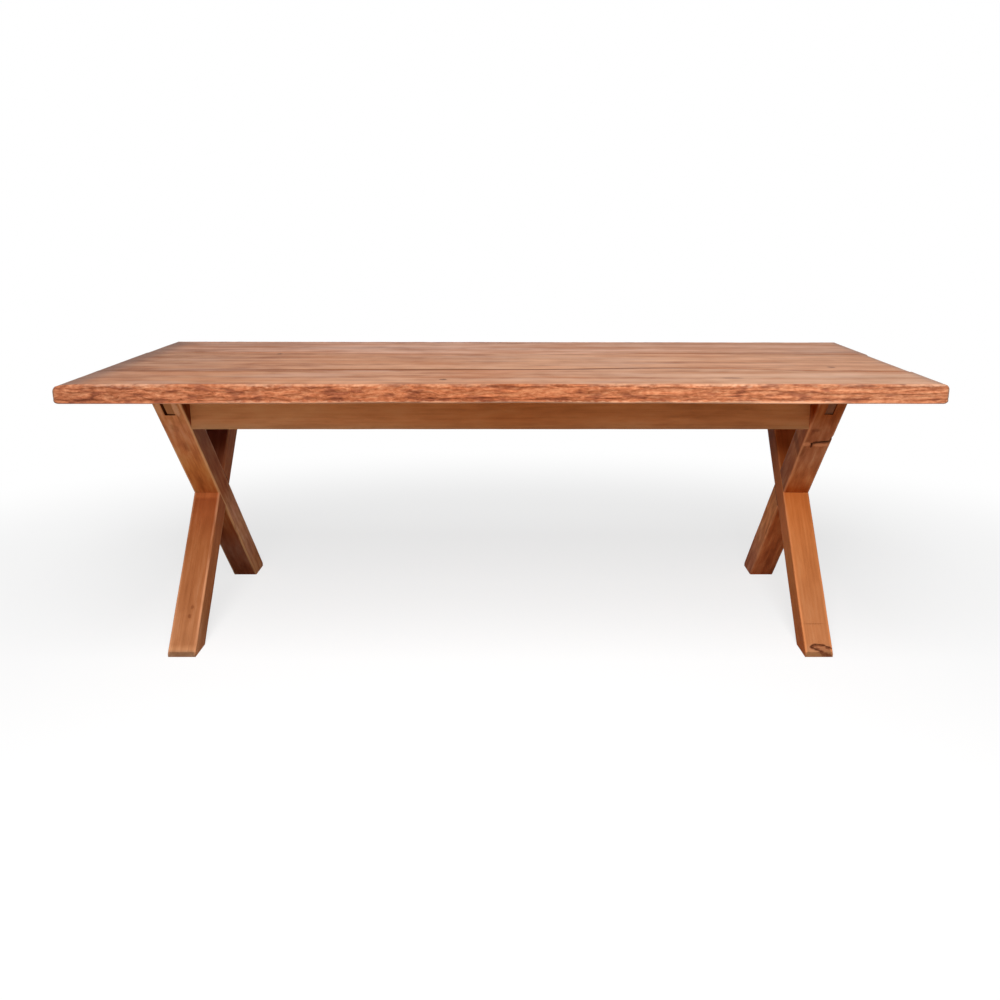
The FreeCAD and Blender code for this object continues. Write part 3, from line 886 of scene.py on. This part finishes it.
def plank_mesh(name, near, far, near_profile, far_profile, left_end, right_end, spacing):
    """A plank's mesh before hewing. Attributes hold each point's share of hewing and way to a seam."""
    top_columns, bottom_columns = 18, 6
    sanding_dip = 0.0005
    sides = (near, near_profile), (far, far_profile)
    seams = [edge for edge, profile in sides if profile is sawn_profile]
    work = bmesh.new()
    hewn = work.verts.layers.float.new("hewn")
    off_seam = work.verts.layers.float.new("off_seam")
    rings = []
    for x, round_share in plank_stations(left_end, right_end, spacing):
        z_low = under_top + end_round_bottom * round_share
        z_high = table_height - end_round_top * round_share
        inset = end_corner * round_share
        near_side = near_profile(near(x), 1, x, z_low, z_high - end_sag(x, near(x)))
        far_side = far_profile(far(x), -1, x, z_low, z_high - end_sag(x, far(x)))
        if near_profile is hewn_profile:
            near_side = [(y + inset, z, share) for y, z, share in near_side]
        if far_profile is hewn_profile:
            far_side = [(y - inset, z, share) for y, z, share in far_side]
        end_fade = min(1.0, min(x - left_end, right_end - x) / hewn_end_fade)
        ring = list(far_side)
        start, end = far_side[-1][0], near_side[-1][0]
        for column in range(1, top_columns):
            y = start + (end - start) * column / top_columns
            dip = sanding_dip * (0.5 + 0.5 * noise.noise((x * 4, y * 9, 0.0)))
            ring.append((y, z_high - dip - end_sag(x, y), 0.0))
        ring += reversed(near_side)
        start, end = near_side[0][0], far_side[0][0]
        for column in range(1, bottom_columns):
            ring.append((start + (end - start) * column / bottom_columns, z_low, 0.0))
        points = []
        for y, z, share in ring:
            point = work.verts.new((x, y, z))
            point[hewn] = share * end_fade
            point[off_seam] = min(abs(y - seam(x)) for seam in seams)
            points.append(point)
        rings.append(points)
    skin(work, rings)
    return to_mesh(work, name)


def torn_fibres(x, z, length, height, seed):
    """Layers of torn fibre on a hewn edge: their depth from 0 to 1, their own numbers, their lips."""
    layers = 11.0
    run = 1.2 * x - 0.35 * (x * x)
    along, up = x.maths("DIVIDE", run, length), z.maths("DIVIDE", z, height)
    spot = x.node("ShaderNodeCombineXYZ", {}, {0: 0.6 * along, 1: 0.6 * up, 2: seed})
    sway = x.node("ShaderNodeTexNoise", {}, {"Vector": spot, "Scale": 1.0, "Detail": 2.0}) - 0.5
    spot = x.node("ShaderNodeCombineXYZ", {}, {0: along + 1.5 * sway, 1: up + 2.6 * sway, 2: seed + 4.0})
    layer = layers * x.node("ShaderNodeTexNoise", {}, {"Vector": spot, "Scale": 1.0, "Detail": 3.0})
    whole = layer.maths("FLOOR", layer)
    number = layer.node("ShaderNodeTexWhiteNoise", {"noise_dimensions": "1D"}, {"W": whole})
    lip = layer.maths("FRACT", layer).step(0.62, 1.0)
    return (whole + lip) * (1 / layers), number, lip


hewing = bpy.data.node_groups.new("hewing", "GeometryNodeTree")
for socket, kind in (
    ("Plank", "NodeSocketGeometry"),
    ("Fibre Length", "NodeSocketFloat"),
    ("Fibre Height", "NodeSocketFloat"),
    ("Relief", "NodeSocketFloat"),
    ("Inward", "NodeSocketVector"),
    ("Seed", "NodeSocketFloat"),
    ("Wood", "NodeSocketMaterial"),
):
    hewing.interface.new_socket(socket, in_out="INPUT", socket_type=kind)
hewing.interface.new_socket("Plank", in_out="OUTPUT", socket_type="NodeSocketGeometry")
given = Thread(hewing).node("NodeGroupInput")
x = given.node("ShaderNodeSeparateXYZ", {}, {0: given.node("GeometryNodeInputPosition")})
share = given.node("GeometryNodeInputNamedAttribute", {"data_type": "FLOAT"}, {"Name": "hewn"})
torn, _, _ = torn_fibres(
    x, x.also("Z"), given.also("Fibre Length"), given.also("Fibre Height"), given.also("Seed")
)
depth = given.also("Relief") * share * torn.step(0.15, 0.85)
offset = given.node(
    "ShaderNodeVectorMath", {"operation": "SCALE"}, {0: given.also("Inward"), "Scale": depth}
)
moved = given.node("GeometryNodeSetPosition", {}, {"Geometry": given, "Offset": offset})
moved = moved.node("GeometryNodeRealizeInstances", {}, {0: moved})
moved = moved.node("GeometryNodeSetMaterial", {}, {"Geometry": moved, "Material": given.also("Wood")})
moved.node("NodeGroupOutput", {}, {"Plank": moved})


def hew(mesh, inward, seed, wood):
    """Runs the hewing on a plank and gives the result as a plain mesh."""
    plank = bpy.data.objects.new("plank", mesh)
    bpy.context.scene.collection.objects.link(plank)
    chisel = plank.modifiers.new("hewing", "NODES")
    chisel.node_group = hewing
    sizes = {
        "Fibre Length": fibre_length, "Fibre Height": fibre_height, "Relief": hewn_relief,
        "Inward": inward, "Seed": seed, "Wood": wood,
    }
    for socket in hewing.interface.items_tree:
        if socket.in_out == "INPUT" and socket.name in sizes:
            chisel[socket.identifier] = sizes[socket.name]
    hewn = as_made(plank)
    plank.modifiers.remove(chisel)
    bpy.data.objects.remove(plank)
    return hewn


hewn_tones = (stain(124, 66, 39), stain(189, 116, 80), stain(228, 163, 122))
# Painted light and shade along the hewn edge, darker towards its left end.
hewn_painted_shading = ((-0.95, (0.79, 0.75, 0.73)), (0.02, (0.79, 0.69, 0.60)), (0.85, (0.98, 1.00, 1.00)))
bruise_tone = stain(126, 70, 55)
upper_arris_highlight_tone, lower_arris_highlight_tone = stain(248, 204, 172), stain(236, 182, 146)
warm_tone, greyed_tone = stain(178, 112, 72), stain(186, 150, 132)
seam_dirt_tone = stain(92, 54, 36)
left_end_shade_and_grime_tone, right_end_tone = stain(112, 84, 72), stain(150, 122, 108)
end_grain_tone = stain(122, 82, 58)


def hewn_colour(spot, x, seed):
    """Raw orange wood of a hewn edge: torn layers, flecks, bruises, painted shade low down, and ragged
    painted highlights along the arrises.
    """
    z = x.also("Z")
    _, number, lip = torn_fibres(x, z, fibre_length, fibre_height, seed)
    flecks = figure(spot, (75.0, 0.0, 170.0), 3.0, seed + 37.0)
    patches = figure(spot, (20.0, 0.0, 55.0), 2.0, seed + 41.0)
    # Painted shade: the hewn edge darkens towards its bottom, most of all midway, where the wane undercuts
    # it.
    low_painted_shade = z.step(under_top + 0.020, under_top + 0.004)
    midway = x.step(-0.45, -0.25) * x.step(0.50, 0.38)
    tone = (
        0.54
        + 0.26 * (number - 0.5)
        + 0.85 * (flecks - 0.5)
        - 0.12 * lip
        + 0.5 * (patches - 0.5)
        - (0.12 + 0.12 * midway) * low_painted_shade
    )
    raw = toned(tone, list(zip((0.08, 0.50, 0.92), hewn_tones)))
    raw = raw.mix(bruise_tone, 0.5 * patches.step(0.47, 0.36))
    # Painted highlights along the ragged upper and lower arrises.
    ragged = z + 0.016 * (flecks - 0.5)
    upper = ragged.step(table_height - 0.008, table_height + 0.001)
    upper = upper * figure(spot, (6.0, 0.0, 0.0), 1.0, seed + 59.0).step(0.25, 0.65)
    lower = ragged.step(under_top + 0.009, under_top + 0.004) * x.step(-0.80, -0.60) * x.step(0.88, 0.78)
    raw = raw.mix(upper_arris_highlight_tone, 0.5 * upper).mix(lower_arris_highlight_tone, 0.6 * lower)
    return shaded_along(raw, x, hewn_painted_shading)


def top_wood(name, lie, tones, painted_shading, seed, knots=()):
    """Oiled heart plank: a darker heart and seams, fine lengthwise streaks, raw hewn edges."""
    wood = new_finish(name)
    tree = wood.node_tree
    grain = solid_grain(tree, lie, (0.0, -0.012), 0.0062, sway=0.05, seed=seed, knots=knots)
    place, late, fibre, pore = (grain[part] for part in ("place", "late", "fibre", "pore"))
    broad = figure(place, (1.1, 17.0, 17.0), 3.0, seed + 23.0)
    apart = place.node("ShaderNodeSeparateXYZ", {}, {0: place})
    along, across = apart, apart.also("Y")
    wander = 0.03 * (figure(place, (1.6, 0.0, 0.0), 2.0, seed + 29.0) - 0.5)
    off_heart = across.maths("ABSOLUTE", across + wander)
    heart = off_heart.step(0.030, 0.004) * figure(place, (2.2, 30.0, 0.0), 2.0, seed + 31.0).step(0.3, 0.6)
    off_seam = place.node("ShaderNodeAttribute", {"attribute_name": "off_seam"}, {}, "Fac")
    spot = place.node("ShaderNodeTexCoord", output="Object")
    x = spot.node("ShaderNodeSeparateXYZ", {}, {0: spot})
    at_back = x.also("Y").step(0.0, 0.05)
    clear = 1.0 - at_back * x.step(0.60, 0.05)
    midway = along.step(-0.55, -0.25) * along.step(0.35, 0.15)
    gap = clear * off_seam.step(0.009, 0.002) * (0.5 + 0.5 * midway)
    tone = (
        0.5
        + 0.10 * along
        + 0.30 * (grain["streak"] - 0.5)
        + (broad - 0.5)
        + 0.8 * (figure(place, (5.0, 15.0, 15.0), 4.0, seed + 43.0) - 0.5)
        + 0.5 * (figure(place, (15.0, 24.0, 24.0), 2.0, seed + 53.0) - 0.5)
        + 0.25 * (grain["line"] - 0.5)
        + 0.25 * (fibre - 0.5)
        - 0.05 * late
        + 0.05 * grain["year"]
        - 0.10 * pore
        - 0.16 * heart
        - 0.10 * clear * off_seam.step(0.030, 0.004)
        - 0.50 * gap
    )
    # Painted light and shade along the plank.
    colour = shaded_along(wood_colour(tone, tones), along, painted_shading)
    warmth = figure(place, (2.6, 14.0, 14.0), 3.0, seed + 47.0)
    colour = colour.mix(warm_tone, 0.5 * warmth.step(0.50, 0.66))
    colour = colour.mix(greyed_tone, 0.35 * warmth.step(0.46, 0.32))
    dirt = (1.0 - at_back) * off_seam.step(0.014, 0.003) * x.step(0.62, 0.38)
    colour = colour.mix(seam_dirt_tone, dirt * (0.30 + 0.40 * x.step(-0.40, -0.22)))
    for share, mark_tone in grain["marks"]:
        colour = colour.mix(mark_tone, share)
    cut = faces_along(tree, lie, 0)
    # Darker at the left end: painted shade on the rounded-over end, with grime.
    colour = colour.mix(left_end_shade_and_grime_tone, 0.72 * along.step(0.100 - half_length, 0.026 - half_length))
    colour = colour.mix(right_end_tone, 0.6 * along.step(half_length - 0.042, half_length - 0.010))
    colour = colour.mix(end_grain_tone, 0.7 * cut)
    hewn = colour.node("ShaderNodeAttribute", {"attribute_name": "hewn"}, {}, "Fac")
    colour = colour.mix(hewn_colour(spot, x, seed), hewn.step(0.0, 0.22))
    roughness = 0.50 + 0.14 * (fibre - 0.5) + 0.10 * pore + 0.2 * cut + 0.25 * hewn
    finish_wood(tree, colour, roughness, fibre - 0.6 * pore + 0.3 * late, 0.0006, 0.035)
    return wood


plank_tones = {
    "front_plank": (stain(148, 92, 60), stain(193, 145, 116), stain(215, 168, 141)),
    "middle_plank": (stain(144, 86, 55), stain(190, 138, 107), stain(214, 163, 132)),
    "back_plank": (stain(152, 98, 68), stain(200, 152, 126), stain(220, 174, 150)),
}
# Painted light and shade along each plank, darker towards the left end.
plank_painted_shadings = {
    "front_plank": (
        (-1.04, (0.80, 0.69, 0.60)), (-0.78, (0.84, 0.74, 0.62)),
        (0.02, (0.92, 0.87, 0.82)), (0.68, (0.92, 0.92, 0.89)),
    ),
    "middle_plank": (
        (-1.04, (0.81, 0.79, 0.74)), (-0.70, (0.91, 0.85, 0.77)),
        (0.00, (0.98, 0.98, 0.95)), (0.70, (0.95, 0.90, 0.84)),
    ),
    "back_plank": (
        (-1.04, (0.90, 0.88, 0.86)), (-0.68, (0.94, 0.89, 0.88)),
        (0.02, (1.00, 1.00, 1.00)), (0.70, (0.92, 0.85, 0.78)),
    ),
}
plank_knot, heart_tone = stain(104, 66, 48), stain(150, 96, 66)
middle_right_end = half_length - middle_right_inset
back_left_end = -half_length + back_left_inset
for name, near, far, near_profile, far_profile, left_end, right_end, knots in (
    ("front_plank", front_edge, front_seam, hewn_profile, sawn_profile, -half_length, half_length,
     ((-0.147, -0.030, 0.011, 0.014, 0.9, plank_knot), (0.588, -0.003, 0.032, 0.015, 0.55, plank_knot))),
    ("middle_plank", front_seam, back_seam, sawn_profile, sawn_profile, -half_length, middle_right_end,
     ((-0.680, 0.160, 0.010, 0.015, 0.9, plank_knot), (0.904, -0.095, 0.012, 0.014, 0.8, plank_knot),
      (-0.760, 0.010, 0.280, 0.014, 0.4, heart_tone))),
    ("back_plank", back_seam, back_edge, sawn_profile, hewn_profile, back_left_end, half_length, ()),
):
    left_middle = (near(-half_length) + far(-half_length)) / 2
    right_middle = (near(half_length) + far(half_length)) / 2
    lie = grain_frame(
        (0, (left_middle + right_middle) / 2, (under_top + table_height) / 2),
        (2 * half_length, right_middle - left_middle, 0),
        (left_middle - right_middle, 2 * half_length, 0),
    )
    seed = 83.0 + 7.0 * left_middle
    wood = top_wood(name + "_wood", lie, plank_tones[name], plank_painted_shadings[name], seed, knots)
    is_hewn = hewn_profile in (near_profile, far_profile)
    spacing = hewn_station if is_hewn else sawn_station
    mesh = plank_mesh(name, near, far, near_profile, far_profile, left_end, right_end, spacing)
    if is_hewn:
        mesh = hew(mesh, (0, 1 if near_profile is hewn_profile else -1, 0), seed, wood)
    set_down(name + "_board", mesh, wood, name, sharp=50)


# Loose tongues. Sawn strips in the grooves of the two seams, out of sight but for the hairline gap.
# Plain bare wood, unoiled.

tongue_tones = (stain(150, 110, 70), stain(186, 142, 98), stain(210, 172, 128))
tongue_half_width = 0.012
tongue_half_thickness = 0.005
tongue_pith = (0.02, 0.03)
tongue_ring = 0.003

for node in ("front_tongue", "back_tongue"):
    low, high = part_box(node)
    lie = grain_frame((low + high) / 2, (1, 0, 0), (0, 1, 0))
    dress(node, frame_wood(
        node + "_bare_wood", lie, tongue_half_width, tongue_half_thickness, tongue_tones, tongue_pith,
        ring=tongue_ring, seed=97.0,
    ))


# Screws. Slotted countersunk wood screws, let up through bearers and aprons into the planks.
# Bright drawn steel, turned, a little dulled.

steel_dull, steel_bright = stain(128, 122, 112), stain(198, 196, 190)
steel = new_finish("screw_steel_dulled")
place = Thread(steel.node_tree).node("ShaderNodeTexCoord", output="Object")
dulled = figure(place, (400.0, 400.0, 900.0), 3.0)
colour = toned(dulled, [(0.3, steel_dull), (0.7, steel_bright)])
turned = colour.node(
    "ShaderNodeBsdfPrincipled", {}, {"Base Color": colour, "Roughness": 0.3 + 0.3 * dulled, "Metallic": 1.0}
)
turned.node("ShaderNodeOutputMaterial", {}, {"Surface": turned})
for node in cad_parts:
    if node.endswith("_screws"):
        dress(node, steel)


# Studio. A pale floor that keeps the shadow and runs out to white.
# Soft light comes from in front and above, and a little from behind at the height of the legs.
# The camera stands a little above the table, at the photograph's distance.

floor_half_size = 30.0
shadow_side, shadow_edge = 1.1, 2.2
paper_lit, paper_seen = stain(200, 198, 196), stain(250, 250, 250)
pure_white = (1.0, 1.0, 1.0, 1.0)
room_light = 0.02
camera_spot = (0.03657, -2.81743, 1.14564)
camera_dip = 13.5846
camera_shift = (-0.0157, -0.0410)
focal_length, film_width = 35.2256, 36.0


def shown(start):
    """1 for rays that show the background, straight to the camera or by way of metal and glass."""
    ray = start.node("ShaderNodeLightPath", output="Is Camera Ray")
    either = ray.maths("MAXIMUM", ray, ray.also("Is Glossy Ray"))
    return ray.maths("MAXIMUM", either, ray.also("Is Transmission Ray"))


floor_work = bmesh.new()
bmesh.ops.create_grid(floor_work, x_segments=1, y_segments=1, size=floor_half_size)
floor = bpy.data.objects.new("floor", to_mesh(floor_work, "floor"))
bpy.context.scene.collection.objects.link(floor)
paper = new_finish("pale_paper")
start = Thread(paper.node_tree)
seen = shown(start)
paper_tone = start.node("ShaderNodeMix", {"data_type": "RGBA"}, {0: seen, 6: paper_lit, 7: paper_seen}, 2)
matt = start.node("ShaderNodeBsdfDiffuse", {}, {"Color": paper_tone})
white = start.node("ShaderNodeEmission", {}, {"Color": pure_white, "Strength": 1.0})
spot = start.node("ShaderNodeTexCoord", output="Object").vector("MULTIPLY", (0.75, 1.0, 0.0))
away = spot.vector("LENGTH", output=1)
far_off = (0.75 + 0.25 * away.step(shadow_side, shadow_edge)) * seen
paper_look = start.node("ShaderNodeMixShader", {}, {0: far_off, 1: matt, 2: white})
start.node("ShaderNodeOutputMaterial", {}, {"Surface": paper_look})
floor.data.materials.append(paper)

world = bpy.data.worlds.new("white_room")
bpy.context.scene.world = world
world.use_nodes = True
world.node_tree.nodes.clear()
start = Thread(world.node_tree)
strength = room_light + (1.0 - room_light) * shown(start)
room = start.node("ShaderNodeBackground", {}, {"Color": pure_white, "Strength": strength})
start.node("ShaderNodeOutputWorld", {}, {"Surface": room})

for lamp_name, spot, aim, width, height, power in (
    ("front_softbox", (-0.1, -3.6, 2.8), (0.0, 0.0, 0.5), 2.0, 2.0, 143.0),
    ("top_softbox", (0.0, -1.65, 3.6), (0.0, 0.0, 0.5), 2.0, 2.0, 86.0),
    ("back_softbox", (0.0, 3.6, 0.36), (0.0, 0.0, 0.36), 2.4, 0.66, 13.0),
):
    lamp = bpy.data.lights.new(lamp_name, "AREA")
    lamp.shape, lamp.size, lamp.size_y, lamp.energy = "RECTANGLE", width, height, power
    stand = bpy.data.objects.new(lamp_name, lamp)
    stand.location = spot
    stand.rotation_euler = (Vector(aim) - Vector(spot)).to_track_quat("-Z", "Y").to_euler()
    bpy.context.scene.collection.objects.link(stand)

lens = bpy.data.cameras.new("camera")
lens.lens, lens.sensor_width = focal_length, film_width
lens.shift_x, lens.shift_y = camera_shift
camera = bpy.data.objects.new("camera", lens)
camera.location = camera_spot
camera.rotation_euler = (math.radians(90 - camera_dip), 0.0, 0.0)
bpy.context.scene.collection.objects.link(camera)
bpy.context.scene.camera = camera
bpy.context.scene.view_settings.view_transform = "Standard"
